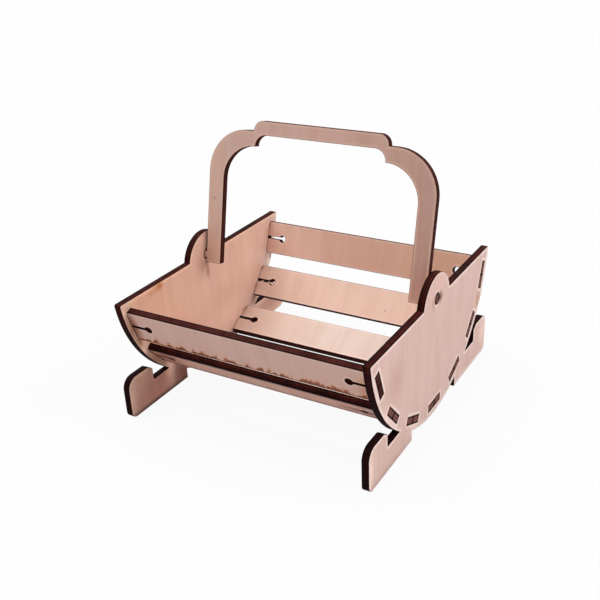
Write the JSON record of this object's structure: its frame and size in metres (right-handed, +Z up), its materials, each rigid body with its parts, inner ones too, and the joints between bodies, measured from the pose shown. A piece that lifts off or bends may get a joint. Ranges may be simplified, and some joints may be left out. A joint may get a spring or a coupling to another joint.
{
  "type": "wooden fruit basket",
  "caption": "Laser-cut birch plywood fruit basket with curved end panels on hooked feet, spaced slats and a swinging arched handle.",
  "frame": {"origin": "on the ground under the middle of the basket", "axes": "+X from the left end panel to the right one, -Y to the front, +Z up"},
  "size_m": [0.225, 0.2434, 0.2228],
  "materials": {
    "panel_ply": "matte",
    "slat_ply": "matte",
    "handle_ply": "matte"
  },
  "bodies": {
    "basket": {"left_end_panel": "panel_ply", "right_end_panel": "panel_ply", "slat_front_top": "slat_ply", "slat_front_middle": "slat_ply", "slat_front_bottom": "slat_ply", "slat_bottom_centre": "slat_ply", "slat_back_bottom": "slat_ply", "slat_back_middle": "slat_ply", "slat_back_top": "slat_ply"},
    "handle": {"handle": "handle_ply"}
  },
  "joints": [
    {"name": "handle_swing", "type": "hinge", "parent": "basket", "child": "handle", "pos_m": [0, 0, 0.104], "axis": [1, 0, 0], "range_deg": [-77.7, 102.3]}
  ]
}
